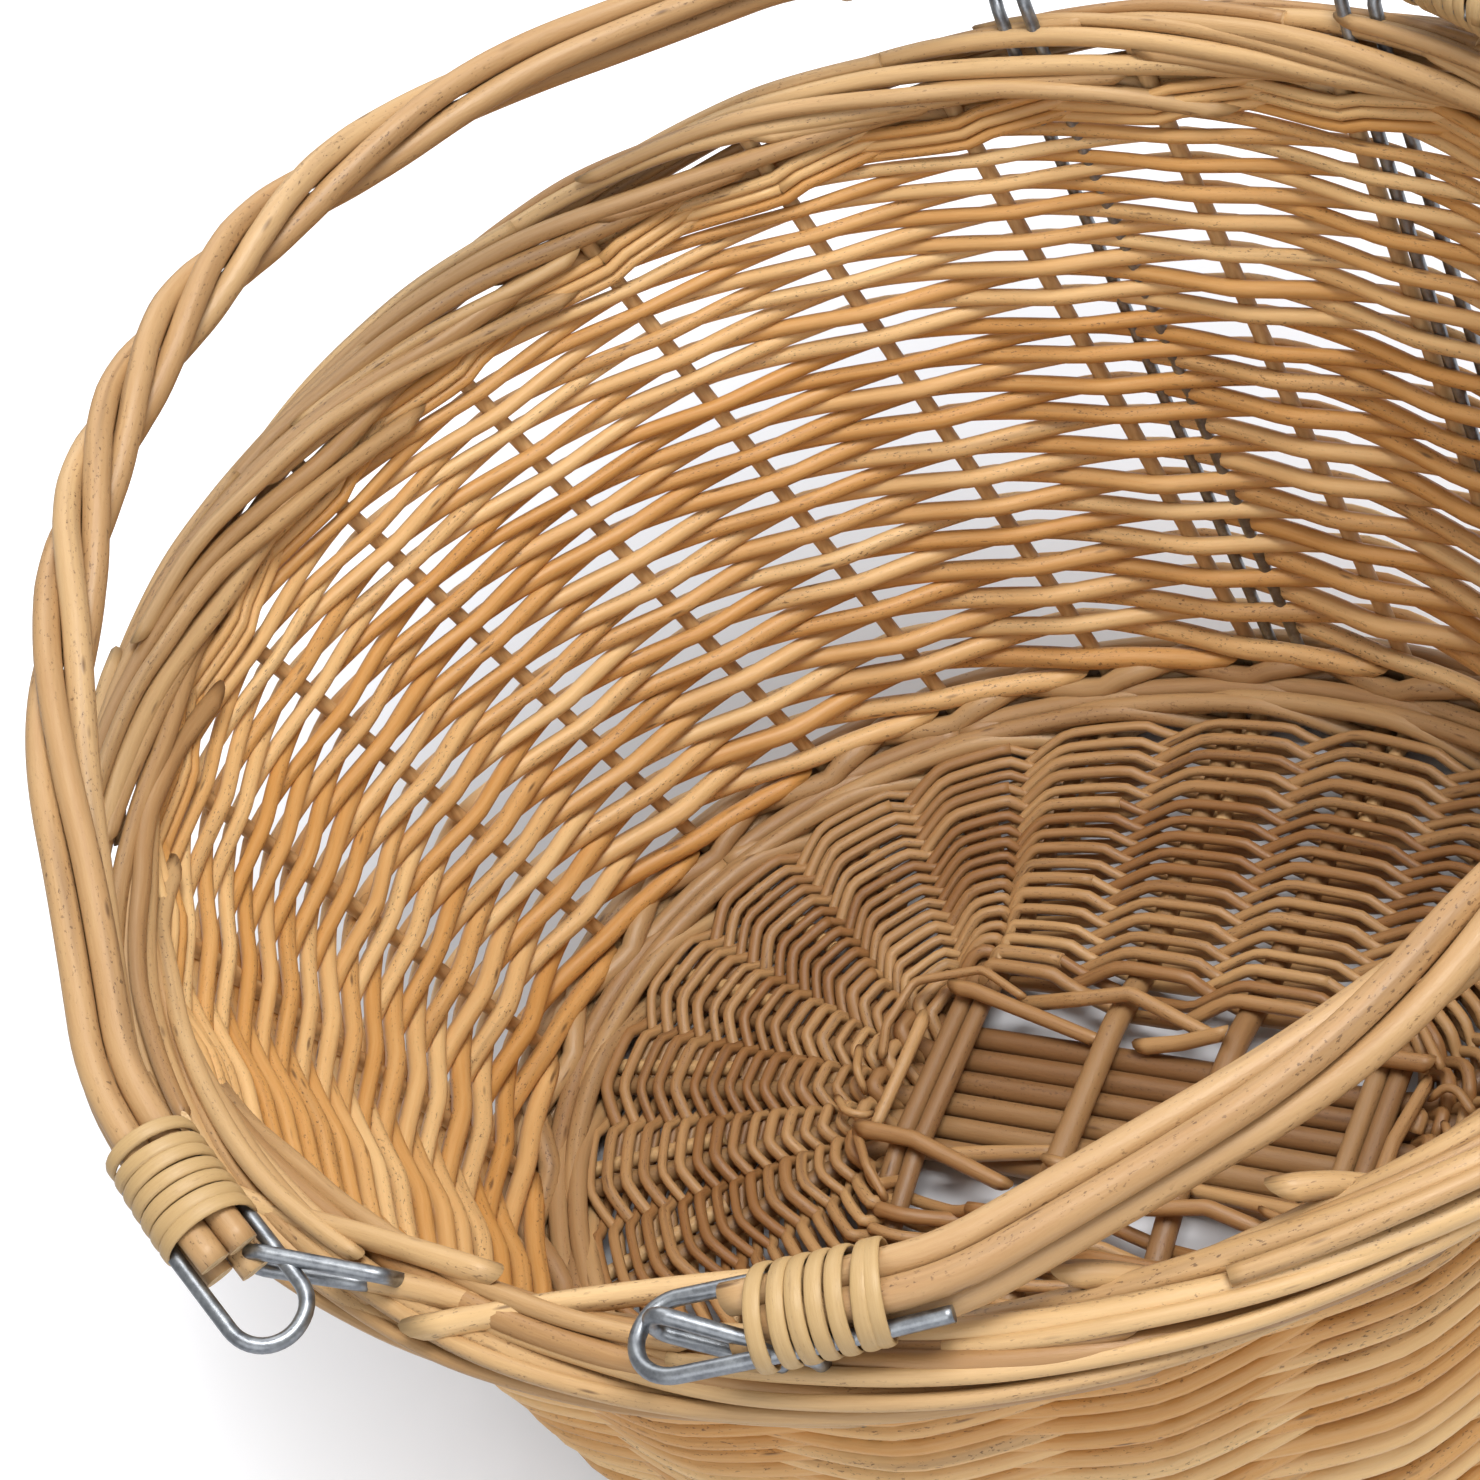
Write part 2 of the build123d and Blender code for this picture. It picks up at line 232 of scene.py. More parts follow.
def build_willow_skin():
    """Colour, roughness and height of a willow rod."""
    tree = bpy.data.node_groups.new("willow_skin", "ShaderNodeTree")
    add_sockets(tree, "INPUT", [
        ("Light", "NodeSocketColor", (0.8, 0.6, 0.35, 1)),
        ("Deep", "NodeSocketColor", (0.6, 0.35, 0.15, 1)),
        ("Stain", "NodeSocketColor", (0.25, 0.13, 0.06, 1)),
        ("Stain Amount", "NodeSocketFloat", 0.5),
        ("Spots", "NodeSocketFloat", 1.0),
    ])
    add_sockets(tree, "OUTPUT", [
        ("Color", "NodeSocketColor", None),
        ("Roughness", "NodeSocketFloat", None),
        ("Height", "NodeSocketFloat", None),
    ])
    n = Nodes(tree)
    given = n.add("NodeGroupInput").outputs
    uv = n.add("ShaderNodeSeparateXYZ", {0: n.add("ShaderNodeUVMap", uv_map="rod").outputs[0]}).outputs
    tone = n.add("ShaderNodeAttribute", attribute_name="tone").outputs["Fac"]
    turn = n.math("MULTIPLY", uv["X"], 2 * math.pi)
    shift = n.math("MULTIPLY", tone, TONE_SHIFT)
    around_x = n.math("ADD", n.math("COSINE", turn), shift)
    around_y = n.math("SINE", turn)

    def along(per_metre):
        """Coordinates round the rod and along it, for one length of pattern."""
        inputs = {"X": around_x, "Y": around_y, "Z": n.math("MULTIPLY", uv["Y"], per_metre)}
        return n.add("ShaderNodeCombineXYZ", inputs).outputs[0]

    streaks = n.noise(along(22), 2.6, 5.0, 0.6)
    fibres = n.noise(along(60), 7.0, 3.0, 0.6)
    patches = n.noise(along(16), 0.8, 2.0)
    buds = n.add("ShaderNodeTexVoronoi", {"Vector": along(80), "Scale": 0.62, "Randomness": 1.0})
    flecks = n.noise(along(170), 4.5, 3.0, 0.6)
    body = n.math("ADD", n.math("MULTIPLY", tone, 0.75), n.math("MULTIPLY", streaks, 0.6))
    body = n.ramp(body, 0.15, 1.05)
    colour = n.mix(body, given["Light"], given["Deep"])
    stain = n.math("MULTIPLY", n.ramp(patches, 0.56, 0.78), given["Stain Amount"])
    colour = n.mix(stain, colour, given["Stain"])
    bud = n.math("MULTIPLY", n.ramp(buds.outputs["Distance"], 0.14, 0.05), given["Spots"])
    bud = n.math("MULTIPLY", bud, n.ramp(patches, 0.42, 0.52))
    fleck = n.math("MULTIPLY", n.ramp(flecks, 0.6, 0.65), n.ramp(patches, 0.45, 0.6))
    marks = n.math("MAXIMUM", bud, n.math("MULTIPLY", fleck, given["Spots"]))
    colour = n.mix(n.math("MULTIPLY", marks, 0.75), colour, given["Stain"])
    rough = n.math("ADD", 0.36, n.math("MULTIPLY", streaks, 0.22))
    height = n.math("ADD", fibres, n.math("MULTIPLY", bud, 1.2))
    n.add("NodeGroupOutput", {"Color": colour, "Roughness": rough, "Height": height})
    return tree


WILLOW_SKIN = build_willow_skin()
print("willow skin has", len(WILLOW_SKIN.nodes), "nodes")


# %% Willow materials from the group
def willow(name, light, deep, stain_amount, spots=1.0):
    """A willow finish with its own colours."""
    material, n, shader = new_finish(name)
    skin = n.add("ShaderNodeGroup", node_tree=WILLOW_SKIN)
    n.feed(skin, {"Light": (*light, 1), "Deep": (*deep, 1), "Stain": STAIN})
    n.feed(skin, {"Stain Amount": stain_amount, "Spots": spots})
    bump = n.add("ShaderNodeBump", {"Height": skin.outputs["Height"], "Strength": 0.25, "Distance": 0.0004})
    n.feed(shader, {"Base Color": skin.outputs["Color"], "Roughness": skin.outputs["Roughness"]})
    n.feed(shader, {"Normal": bump.outputs["Normal"]})
    return material


def cut_wood(name, pale, ring):
    """The flat cut end of a rod: pale wood with a darker grain."""
    material, n, shader = new_finish(name)
    place = n.add("ShaderNodeTexCoord").outputs["Object"]
    grain = n.noise(place, 900.0, 3.0)
    colour = n.mix(n.ramp(grain, 0.35, 0.7), (*pale, 1), (*ring, 1))
    n.feed(shader, {"Base Color": colour, "Roughness": 0.75})
    return material


STAIN = (0.10, 0.045, 0.018, 1)
WALL_WILLOW = willow("wall_willow", (0.78, 0.53, 0.25), (0.57, 0.28, 0.075), 0.35)
BORDER_WILLOW = willow("border_willow", (0.66, 0.44, 0.21), (0.36, 0.195, 0.075), 0.5)
HANDLE_WILLOW = willow("handle_willow", (0.59, 0.395, 0.195), (0.38, 0.205, 0.08), 0.55)
BASE_WILLOW = willow("base_willow", (0.56, 0.345, 0.15), (0.27, 0.125, 0.04), 0.55)
STICK_WILLOW = willow("stick_willow", (0.37, 0.215, 0.09), (0.21, 0.10, 0.036), 0.6)
FOOT_WILLOW = willow("foot_willow", (0.52, 0.33, 0.15), (0.30, 0.16, 0.065), 0.5)
CANE = willow("cane", (0.67, 0.49, 0.26), (0.46, 0.30, 0.13), 0.3, 0.3)
CUT_WOOD = cut_wood("cut_wood", (0.74, 0.55, 0.31), (0.50, 0.31, 0.14))
print("finishes made:", len(bpy.data.materials))

# %% [markdown]
# Every rod is a tube swept along a list of points with a radius at each point.
# A rod has its own taper, is a little uneven, and ends in a slanted cut whose
# face shows the wood inside. A tube in mesh code is the plain way to get this
# with a UV map along the rod, so one helper makes all the rods of a band.


# %% Sweep rods along points
def directions(points):
    """Unit directions along a line of points."""
    steps = np.gradient(points, axis=0)
    return steps / np.linalg.norm(steps, axis=1)[:, None]


def carried_sides(ways, first):
    """A side direction carried along a line without twist."""
    sides = np.empty_like(ways)
    side = np.asarray(first, float) - ways[0] * np.dot(first, ways[0])
    sides[0] = side / np.linalg.norm(side)
    for i in range(1, len(ways)):
        side = sides[i - 1] - ways[i] * np.dot(sides[i - 1], ways[i])
        sides[i] = side / np.linalg.norm(side)
    return sides


class RodBand:
    """The rods of one band, gathered into one mesh."""

    def __init__(self, sides=10):
        self.sides = sides
        self.vertices = []
        self.faces = []
        self.uvs = []
        self.tones = []
        self.cuts = []
        self.count = 0

    def add(self, points, radii, tone, slants=(0.0, 0.0), first_side=(0, 0, 1), flat=1.0, sides=None):
        """One rod, in millimetres. Slants lengthen one edge of the cut ends."""
        points = np.asarray(points, float)
        radii = np.broadcast_to(np.asarray(radii, float), (len(points),))
        ways = directions(points)
        if sides is None:
            sides = carried_sides(ways, first_side)
        others = np.cross(ways, sides)
        runs = np.concatenate([[0], np.cumsum(np.linalg.norm(np.diff(points, axis=0), axis=1))])
        angles = np.arange(self.sides) * 2 * math.pi / self.sides
        ring = np.cos(angles)[None, :, None] * sides[:, None, :] * flat
        ring = ring + np.sin(angles)[None, :, None] * others[:, None, :]
        tube = points[:, None, :] + ring * radii[:, None, None]
        tube[0] -= ways[0] * (np.cos(angles) * slants[0] * radii[0])[:, None]
        tube[-1] += ways[-1] * (np.cos(angles) * slants[1] * radii[-1])[:, None]
        self.vertices.append(tube.reshape(-1, 3))
        self.tones.append(np.full(len(points) * self.sides, tone))
        self._skin_faces(len(points), runs * MM)
        self.count += len(points) * self.sides

    def _skin_faces(self, rows, runs):
        """Faces round the tube and the two cut ends, with their UV values."""
        n = self.sides
        a = np.arange(rows - 1)[:, None] * n + np.arange(n)[None, :]
        b = np.arange(rows - 1)[:, None] * n + (np.arange(n)[None, :] + 1) % n
        quads = np.stack([a, b, b + n, a + n], axis=-1).reshape(-1, 4) + self.count
        u0 = np.broadcast_to(np.arange(n) / n, (rows - 1, n))
        v0 = np.broadcast_to(runs[:-1, None], (rows - 1, n))
        v1 = np.broadcast_to(runs[1:, None], (rows - 1, n))
        u1 = u0 + 1 / n
        uv = np.stack([np.stack([u0, v0], -1), np.stack([u1, v0], -1),
                       np.stack([u1, v1], -1), np.stack([u0, v1], -1)], axis=2)
        self.faces += quads.tolist()
        self.uvs.append(uv.reshape(-1, 2))
        first = list(range(self.count, self.count + n))[::-1]
        last = list(range(self.count + (rows - 1) * n, self.count + rows * n))
        self.cuts += [len(self.faces), len(self.faces) + 1]
        self.faces += [first, last]
        self.uvs.append(np.zeros((2 * n, 2)))

    def build(self, name, material, body, slot, replaced=(), cut_finish=None):
        """The finished piece, riding on its body."""
        mesh = bpy.data.meshes.new(name)
        mesh.from_pydata((np.concatenate(self.vertices) * MM).tolist(), [], self.faces)
        layer = mesh.uv_layers.new(name="rod")
        layer.data.foreach_set("uv", np.concatenate(self.uvs).ravel())
        tone = mesh.attributes.new("tone", "FLOAT", "POINT")
        tone.data.foreach_set("value", np.concatenate(self.tones))
        mesh.materials.append(material)
        mesh.materials.append(cut_finish or CUT_WOOD)
        cut = np.zeros(len(self.faces), int)
        cut[self.cuts] = 1
        mesh.polygons.foreach_set("material_index", cut)
        mesh.polygons.foreach_set("use_smooth", cut == 0)
        mesh.update()
        piece = bpy.data.objects.new(name, mesh)
        bpy.context.scene.collection.objects.link(piece)
        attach(piece, body)
        if replaced:
            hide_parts(*replaced)
        print(name, "faces", len(self.faces))
        return piece


print("rods are swept as tubes of", RodBand().sides, "sides or more")

# %% [markdown]
# The wall is woven in French randing: one rod starts in every space between two
# stakes, and all rods climb side by side, inside one stake and outside the next.
# So at each stake the rods lie one above the other, in turn inside and outside,
# and between the stakes they cross and close the wall. The stakes lean as they
# rise, and the rods start thick and end thin.

# %% Where the stakes stand
STAKES = 24
ROOT_HALF = (171.0, 146.0)
RIM_HALF = (192.0, 181.0)
ROOT_Z = 8.0
RIM_Z = 210.0
STAKE_RADIUS = 2.1


def half_sizes(z):
    """Half the length and half the width of the stake oval at a height."""
    share = (z - ROOT_Z) / (RIM_Z - ROOT_Z)
    return [root + (rim - root) * share for root, rim in zip(ROOT_HALF, RIM_HALF)]


def oval(angle, z, outward=0.0):
    """Points of the stake oval, at angles in degrees and heights in mm."""
    half_x, half_y = half_sizes(z)
    turn = np.radians(angle)
    x = (half_x + outward) * np.cos(turn)
    y = (half_y + outward) * np.sin(turn)
    return np.stack([x, y, z + 0 * turn], axis=-1)


def stake_line(number):
    """Lower and upper end of a stake's straight stretch, read from the frame."""
    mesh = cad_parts[f"side_stake_{number:02d}"].data
    spots = np.array([vertex.co[:] for vertex in mesh.vertices]) / MM
    top = spots[spots[:, 2] > spots[:, 2].max() - 1.0].mean(axis=0)
    middle = spots[spots[:, 2] < top[2] / 2]
    low_z = middle[:, 2].max()
    return middle[middle[:, 2] > low_z - 1.5].mean(axis=0), top


def oval_angle(spot):
    """The oval angle of a spot, in degrees."""
    half_x, half_y = half_sizes(spot[2])
    return math.degrees(math.atan2(spot[1] / half_y, spot[0] / half_x))


def unwrapped(angles):
    """Angles that only rise from one stake to the next."""
    return np.degrees(np.unwrap(np.radians(angles)))


stake_ends = [stake_line(number + 1) for number in range(STAKES)]
LOW_Z = float(np.mean([low[2] for low, top in stake_ends]))
HIGH_Z = float(np.mean([top[2] for low, top in stake_ends]))
LOW_ANGLES = unwrapped([oval_angle(low) for low, top in stake_ends])
HIGH_ANGLES = unwrapped([oval_angle(top) for low, top in stake_ends])
HIGH_ANGLES += 360 * np.round((LOW_ANGLES[0] - HIGH_ANGLES[0]) / 360)
print("stakes run from", round(LOW_Z, 1), "to", round(HIGH_Z, 1), "mm; the first leans",
      round(float(HIGH_ANGLES[0] - LOW_ANGLES[0]), 1), "degrees")


# %% Places on the wall counted in stakes
def stake_turn(count, z):
    """The oval angle at a count of stakes, which need not be whole."""
    share = (z - LOW_Z) / (HIGH_Z - LOW_Z)
    rounds = np.floor(count / STAKES)
    place = count - rounds * STAKES
    low = np.interp(place, np.arange(STAKES + 1), np.append(LOW_ANGLES, LOW_ANGLES[0] + 360))
    high = np.interp(place, np.arange(STAKES + 1), np.append(HIGH_ANGLES, HIGH_ANGLES[0] + 360))
    return low + (high - low) * share + 360 * rounds


STAKE_SAG = 1.25


def wall_point(count, z, outward=0.0):
    """Points on the wall, moved outward from the stakes' own middle."""
    share = np.clip((z - LOW_Z) / (HIGH_Z - LOW_Z), 0, 1)
    sag = STAKE_SAG * 4 * share * (1 - share)
    return oval(stake_turn(count, z), z, outward - sag)


print("the wall at the first stake, half way up:", wall_point(0.0, (LOW_Z + HIGH_Z) / 2).round(1))


# %% The wall weave
WALL_START_Z = 24.0
WALL_STEPS = 33
FIRST_RISE = 6.0
LAST_RISE = 3.7
STEPS_PER_SPACE = 9
BUTT_LENGTH = 0.8
ROD_SHARE = 0.49
WAVE_EDGE = 0.96
PRESSED_IN = 0.7
ROD_REACH = 0.96
HEIGHT_SPREAD = 0.25
WANDER_SPREAD = 0.35
BUTT_SLANT = 1.8


def wall_height(step):
    """Height of a wall rod after a number of stake spaces."""
    fall = (FIRST_RISE - LAST_RISE) / WALL_STEPS / 2
    return WALL_START_Z + FIRST_RISE * step - fall * step**2


def wall_rod_radius(step):
    """Radius of a wall rod: thick at its butt and thin at its tip."""
    rise = FIRST_RISE - (FIRST_RISE - LAST_RISE) * step / WALL_STEPS
    return rise * ROD_SHARE


def add_wall_rod(band, number):
    """One rod of the wall, from its butt inside to its tip under the border."""
    steps = np.linspace(-BUTT_LENGTH, WALL_STEPS, int(WALL_STEPS * STEPS_PER_SPACE) + 6)
    heights = wall_height(steps) + LUCK.normal(0, HEIGHT_SPREAD)
    radii = wall_rod_radius(steps) * LUCK.uniform(0.92, 1.06)
    swing = -WAVE_EDGE * np.cos(np.maximum(steps, 0) * math.pi)
    wave = np.arcsin(swing) / math.asin(WAVE_EDGE)
    reach = STAKE_RADIUS - PRESSED_IN + radii * ROD_REACH
    wander = np.interp(steps, np.arange(-1, WALL_STEPS + 2), LUCK.normal(0, WANDER_SPREAD, WALL_STEPS + 3))
    outward = wave * reach + 0.25 * wander
    points = wall_point(number + steps, heights + wander, outward)
    uneven = 1 + 0.04 * np.sin(steps * 2.7 + LUCK.uniform(0, 6))
    band.add(points, radii * uneven, LUCK.uniform(0, 1), slants=(BUTT_SLANT, 0))


WALL_PIECES = 4
for part in range(WALL_PIECES):
    band = RodBand(sides=10)
    for number in range(part, STAKES, WALL_PIECES):
        add_wall_rod(band, number)
    replaced = ["wall_weave"] if part == 0 else []
    band.build(f"wall_rods_{part + 1}", WALL_WILLOW, "basket", "buff_willow", replaced)

# %% [markdown]
# A wale is a few rods that travel together. Each passes outside several stakes
# and then inside one, and slants a little on its way, so the row looks like a
# rope. Thick rods make the foot and cover the ends of the base sticks, and thin
# ones close the wall under the border.


# %% Foot wale and top wale
FOOT_ROWS_Z = (4.9, 11.4, 17.9)
TOP_ROWS_Z = (186.6, 189.7, 192.8)
BASE_EDGE_INSETS = (-7.6, -13.0)
BASE_EDGE_LIFT = 1.6
POINTS_PER_STAKE = 8


def wale_offset(phase, outside):
    """Minus one at the inside stake, one at the outside stakes, smooth between."""
    period = outside + 1
    near = np.minimum(phase % period, period - phase % period)
    blend = np.clip(near, 0, 1)
    return -1 + 2 * blend**2 * (3 - 2 * blend)


def add_wale_row(band, level, radius, outside, slant, place):
    """One row of waling at a level of its place, all its rods going once round."""
    period = outside + 1
    for rod in range(period):
        start = LUCK.integers(0, STAKES)
        steps = np.arange(0, STAKES + 0.01, 1 / POINTS_PER_STAKE) + start
        phase = (steps - rod) % period
        radii = radius * LUCK.uniform(0.93, 1.05) * (1 + 0.04 * np.sin(steps + rod))
        offset = wale_offset(phase, outside)
        reach = STAKE_RADIUS + radii - 0.3 * radii * np.minimum(offset, 0)
        climb = slant * (phase / period - 0.5)
        points = place(steps, level + climb, offset * reach)
        band.add(points, radii, LUCK.uniform(0, 1))


def foot_point(count, z, outward):
    """Points round the foot, which stands upright under the stakes."""
    flat = oval(stake_turn(count, LOW_Z), ROOT_Z, outward)
    flat[:, 2] = z
    return flat


def base_edge_point(count, inset, up):
    """Points on the outer ends of the base sticks, by inset and height above their middle."""
    flat = oval(stake_turn(count, LOW_Z), ROOT_Z, inset)
    flat[:, 2] = ROOT_Z + BASE_EDGE_LIFT + up
    return flat


foot_band = RodBand(sides=12)
for z in FOOT_ROWS_Z:
    add_wale_row(foot_band, z, radius=3.1, outside=3, slant=2.6, place=foot_point)
for inset in BASE_EDGE_INSETS:
    add_wale_row(foot_band, inset, radius=2.75, outside=2, slant=4.5, place=base_edge_point)
foot_band.build("foot_rods", FOOT_WILLOW, "basket", "buff_willow", ["foot_wale"])
top_band = RodBand(sides=10)
for z in TOP_ROWS_Z:
    add_wale_row(top_band, z, radius=1.55, outside=2, slant=1.4, place=wall_point)
top_band.build("top_wale_rods", WALL_WILLOW, "basket", "buff_willow")

# %% [markdown]
# The base starts from a cross of sticks: six long ones with six short ones on
# top. The sticks fan out until each one ends at a stake. Two weavers twine round
# them, one above and one below each stick, and cross in every space. A few loose
# strokes of brown rod hold the cross together.


# %% Lines with rounded bends
ARC_POINTS = 12


def rounded_line(points, radii, step=2.5):
    """A line of straight stretches joined by arcs, sampled evenly."""
    points = [np.asarray(point, float) for point in points]
    radii = np.broadcast_to(radii, len(points) - 2)
    line = [points[0]]
    for before, corner, after, radius in zip(points, points[1:], points[2:], radii):
        back = (before - corner) / np.linalg.norm(before - corner)
        ahead = (after - corner) / np.linalg.norm(after - corner)
        bend = math.pi - math.acos(np.clip(back @ ahead, -1, 1))
        if bend < 1e-4:
            continue
        tangent = radius * math.tan(bend / 2)
        middle = (back + ahead) / np.linalg.norm(back + ahead)
        centre = corner + middle * radius / math.cos(bend / 2)
        first = corner + back * tangent - centre
        last = corner + ahead * tangent - centre
        for share in np.linspace(0, 1, ARC_POINTS):
            turned = math.sin((1 - share) * bend) * first + math.sin(share * bend) * last
            line.append(centre + turned / math.sin(bend))
    line.append(points[-1])
    return even_points(np.array(line), step)


def even_points(line, step):
    """The same line with points at even distances."""
    runs = np.concatenate([[0], np.cumsum(np.linalg.norm(np.diff(line, axis=0), axis=1))])
    marks = np.linspace(0, runs[-1], max(2, int(runs[-1] / step) + 1))
    return np.stack([np.interp(marks, runs, line[:, axis]) for axis in range(3)], axis=1)


corner_line = rounded_line([(0, 0, 0), (50, 0, 0), (50, 50, 0)], 25)
print("a rounded corner has", len(corner_line), "points")


# %% Base sticks
STICKS = 6
MIDDLE_ROW = (STICKS - 1) / 2
STICK_STEP = 15.0
LONG_PITCH = 7.07
LONG_FAN_X = 68.0
LONG_Z = 6.0
SHORT_TOP_Z = 13.1
SHORT_X = (-60.2, -54.8, -16.7, 16.7, 54.8, 60.2)
SHORT_RADII = (2.6, 2.6, 3.4, 3.4, 2.6, 2.6)
SHORT_DROP_Y = 24.0
SHORT_FAN_Y = 46.0
STICK_INSET = -8.6
STICK_RADIUS = 3.4
STICK_BEND = 25
STICK_TAPER = 0.28
LONG_CROSS = (64.0, 0)
SHORT_CROSS = (29.5, 1)


def stick_end(angle):
    """Where a base stick stops inside the foot."""
    return oval(np.array([angle]), ROOT_Z, STICK_INSET)[0]


def half_sticks():
    """The 24 outer halves of the sticks, anticlockwise from the right."""
    halves = []
    for row in range(STICKS):
        y = (row - MIDDLE_ROW) * LONG_PITCH
        angle = (row - MIDDLE_ROW) * STICK_STEP
        for way, turn in ((1, angle), (-1, 180 - angle)):
            points = [(0, y, LONG_Z), (way * LONG_FAN_X, y, LONG_Z), stick_end(turn)]
            halves.append((turn % 360, points, STICK_RADIUS, LONG_CROSS))
    for row, x in enumerate(SHORT_X):
        angle = 90 - (row - MIDDLE_ROW) * STICK_STEP
        for way in (1, -1):
            points = [(x, 0, SHORT_TOP_Z), (x, way * SHORT_DROP_Y, SHORT_TOP_Z)]
            points += [(x, way * SHORT_FAN_Y, ROOT_Z), stick_end(way * angle)]
            halves.append((way * angle % 360, points, SHORT_RADII[row], SHORT_CROSS))
    return sorted(halves, key=lambda half: half[0])


HALVES = half_sticks()
stick_band = RodBand(sides=14)
lines = [rounded_line(points, STICK_BEND, 2.0) for turn, points, radius, edge in HALVES]
partners = {}
for number, (turn, points, radius, edge) in enumerate(HALVES):
    key = (edge[1], round(points[0][1 - edge[1]], 2))
    partners.setdefault(key, []).append(number)
for first, second in partners.values():
    line = np.concatenate([lines[first][::-1], lines[second][1:]])
    runs = np.linspace(0, 1, len(line))
    taper = 1 - STICK_TAPER * np.abs(2 * runs - 1) ** 1.5
    radii = HALVES[first][2] * taper * (1 + 0.03 * np.sin(runs * 11 + first) - 0.06 * (runs - 0.5))
    stick_band.add(line, radii, LUCK.uniform(0, 1))
STICK_NODES = [f"base_{way}_stick_{i + 1}" for way in ("long", "short") for i in range(STICKS)]
stick_band.build("base_sticks", STICK_WILLOW, "basket", "brown_willow", STICK_NODES)


# %% Base weave
STRETCH_PARTS = 100


def outer_stretch(line, edge):
    """The stretch of a stick outside the cross, at even shares of its length."""
    start, axis = edge
    line = line[np.abs(line[:, axis]) >= start]
    runs = np.concatenate([[0], np.cumsum(np.linalg.norm(np.diff(line, axis=0), axis=1))])
    marks = np.linspace(0, runs[-1], STRETCH_PARTS + 1)
    return np.stack([np.interp(marks, runs, line[:, i]) for i in range(3)], axis=1)


STRETCHES = np.array([outer_stretch(line, half[3]) for line, half in zip(lines, HALVES)])


def on_stick(number, share):
    """Points at shares along the outer stretches of sticks."""
    place = np.clip(share, 0, 1) * STRETCH_PARTS
    low = np.minimum(place.astype(int), STRETCH_PARTS - 1)
    part = (place - low)[:, None]
    number = number % STAKES
    return STRETCHES[number, low] * (1 - part) + STRETCHES[number, low + 1] * part


def unit_rows(vectors):
    """Each row as a unit vector."""
    return vectors / np.maximum(np.linalg.norm(vectors, axis=1), 1e-9)[:, None]


def ring_point(count, share):
    """Points of the rounds of the base, at counts of sticks."""
    number = np.floor(count).astype(int)
    part = (count - number)[:, None]
    before, here, there, after = (on_stick(number + i, share) for i in (-1, 0, 1, 2))
    length = np.linalg.norm(there - here, axis=1)[:, None]
    leave = unit_rows(unit_rows(here - before) + unit_rows(there - here)) * length
    arrive = unit_rows(unit_rows(there - here) + unit_rows(after - there)) * length
    a, b = part**2, part**3
    ends = (2 * b - 3 * a + 1) * here + (3 * a - 2 * b) * there
    return ends + (b - 2 * a + part) * leave + (b - a) * arrive


THICK_ROUNDS = 2
THIN_ROUNDS = 15
THICK_PITCH = 6.2
THIN_PITCH = 5.6
THICK_WEAVER = 2.0
THIN_WEAVER = 1.66
WEAVE_LIFT = 0.8
THICK_LENGTHS = (7, 12)
THIN_LENGTHS = (14, 22)
WEAVER_OVERLAP = 0.45
POINTS_PER_STICK = 12
STROKE_MARKS = (-1.0, -0.58, -0.44, 0.08, 0.16, 0.5, 1.0)
STROKE_STEPS = (-0.65, -0.15, 0.0, 0.0, -0.12, -1.05, -0.65)
STROKE_LIFTS = (-1.0, -0.1, 0.85, 1.0, 0.9, -0.2, -1.0)
ROUND_SHARES = np.cumsum([0.5 * THICK_PITCH] + [THICK_PITCH] * THICK_ROUNDS + [THIN_PITCH] * THIN_ROUNDS)
ROUND_SHARES = ROUND_SHARES / (ROUND_SHARES[-1] + 1.1 * THIN_PITCH)


def weave_line(counts, way, radii):
    """A weaver of the base: flat above every other stick, then steeply inward and below."""
    share = np.interp(counts / STAKES, np.arange(len(ROUND_SHARES)), ROUND_SHARES)
    middle = ring_point(counts, share)
    ahead = ring_point(counts, share + 0.02) - middle
    ahead[:, 2] = 0
    beside = (counts + (0 if way > 0 else 1) + 1) % 2 - 1
    lift = np.interp(beside, STROKE_MARKS, STROKE_LIFTS)
    middle[:, 2] += WEAVE_LIFT + lift * (radii + 2.8 - 0.7 * share)
    step = np.interp(beside, STROKE_MARKS, STROKE_STEPS) * THIN_PITCH
    return middle + unit_rows(ahead) * (step + LUCK.normal(0, 0.12))[:, None]


def add_base_weaver(bands, way):
    """One of the two weavers, laid in as rods that follow each other."""
    total = (len(ROUND_SHARES) - 1) * STAKES
    start = 0 if way > 0 else 1
    while start < total:
        early = start < THICK_ROUNDS * STAKES
        length = int(LUCK.integers(*(THICK_LENGTHS if early else THIN_LENGTHS)) * 2)
        end = min(start + length, total)
        counts = np.arange(start - WEAVER_OVERLAP, end + WEAVER_OVERLAP, 1 / POINTS_PER_STICK)
        counts = np.clip(counts, 0, total)
        share = (counts - counts[0]) / max(length, 1)
        radii = (THICK_WEAVER if early else THIN_WEAVER) * LUCK.uniform(0.9, 1.06) * (1.08 - 0.24 * share)
        band = bands[0 if start < total / 2 else 1]
        band.add(weave_line(counts, way, radii), radii, LUCK.uniform(0, 1))
        start = end


print("base weave of", THICK_ROUNDS, "thick and", THIN_ROUNDS, "thin rounds")


